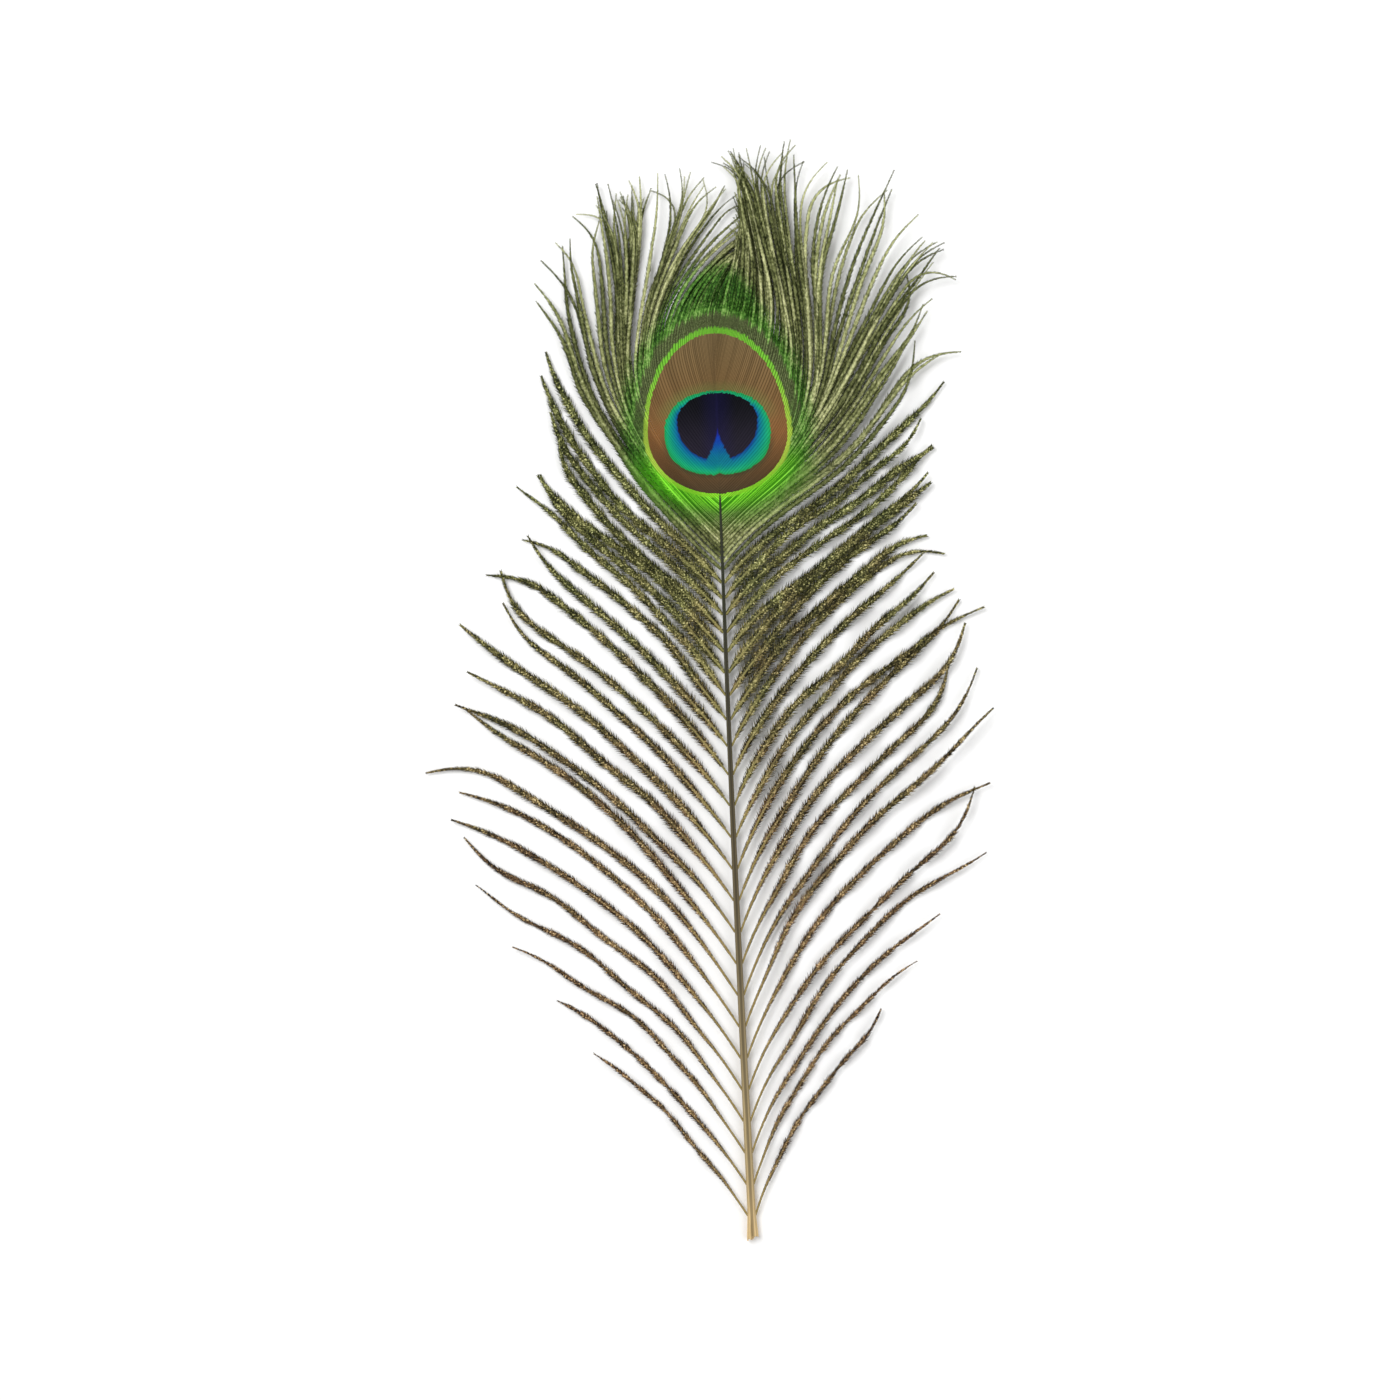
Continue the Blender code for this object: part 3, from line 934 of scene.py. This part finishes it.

    # Painted shade in the seams between the barbs, faint in the disc; a darker line down the middle over
    # the shaft.
    in_disc = disc.rise(1.1, 1.0)
    seam_shade = 1 - from_middle.rise(0.4, 0.95) * (0.75 - in_disc * (0.55 - y.rise(2, 14) * 0.35))
    middle_line = 1 - x.rise(0.28, 0.08) * (0.35 - in_disc * 0.25)
    own_tone = 0.94 + chance * 0.12 * (1 - is_down)
    colour = finish.shaded(colour, seam_shade * own_tone * middle_line)
    grain = finish.noise(finish.place(), 4200, 2)
    return finish.paint(colour, 0.42 + grain * 0.22, finish.bump(grain, 0.35, 0.03 * MM))


eye_finish = iridescent()
vane(-1, "left", eye_finish)
vane(1, "right", eye_finish)


# ---------------------------------------------------------------------------------------------
# The studio: a pale matt table, a big soft light above and a weaker one from the side, and the
# camera straight above, turned so that the feather leans a little to the left.

VIEW_HEIGHT = 364 * MM          # how much of the table the square picture shows
CAMERA_ROLL = math.radians(-2.47)
CAMERA_LENS = 85
CAMERA_SENSOR = 36
TABLE_REACH = 1.6               # from its middle to its edge
WALL_LIGHT = 0.42
AIM = Vector((FOOT_X - 7.7 * MM, FOOT_Y + 140.3 * MM, 0))


def table():
    mesh = bmesh.new()
    bmesh.ops.create_grid(mesh, x_segments=1, y_segments=1, size=TABLE_REACH)
    shape = bpy.data.meshes.new("table")
    mesh.to_mesh(shape)
    mesh.free()
    finish = Finish("matt_card")
    mottle = finish.noise(finish.place(), 900, 3)
    tone = finish.mix(mottle, (0.93, 0.93, 0.93), (0.95, 0.95, 0.945))
    shape.materials.append(finish.paint(tone, 0.8 + mottle * 0.1, finish.bump(mottle, 0.05, 0.02 * MM)))
    made = bpy.data.objects.new("table", shape)
    bpy.context.collection.objects.link(made)


def soft_light(name, place, size, watts):
    lamp = bpy.data.lights.new(name, "AREA")
    lamp.size = size
    lamp.energy = watts
    made = bpy.data.objects.new(name, lamp)
    made.location = place
    made.rotation_euler = (AIM - Vector(place)).to_track_quat("-Z", "Y").to_euler()
    bpy.context.collection.objects.link(made)


table()
soft_light("key_light", (-0.45, 0.4, 1.0), 0.6, 10)
soft_light("fill_light", (0.7, -0.2, 0.9), 0.8, 3.8)
room = bpy.data.worlds.new("room")
room.use_nodes = True
walls = room.node_tree.nodes["Background"].inputs
walls["Color"].default_value = (1, 1, 1, 1)
walls["Strength"].default_value = WALL_LIGHT
bpy.context.scene.world = room
bpy.context.scene.view_settings.view_transform = "Standard"

lens = bpy.data.cameras.new("camera")
lens.lens = CAMERA_LENS
lens.sensor_width = CAMERA_SENSOR
camera = bpy.data.objects.new("camera", lens)
camera.location = AIM + Vector((0, 0, VIEW_HEIGHT * CAMERA_LENS / CAMERA_SENSOR))
camera.rotation_euler = (0, 0, CAMERA_ROLL)
bpy.context.collection.objects.link(camera)
bpy.context.scene.camera = camera
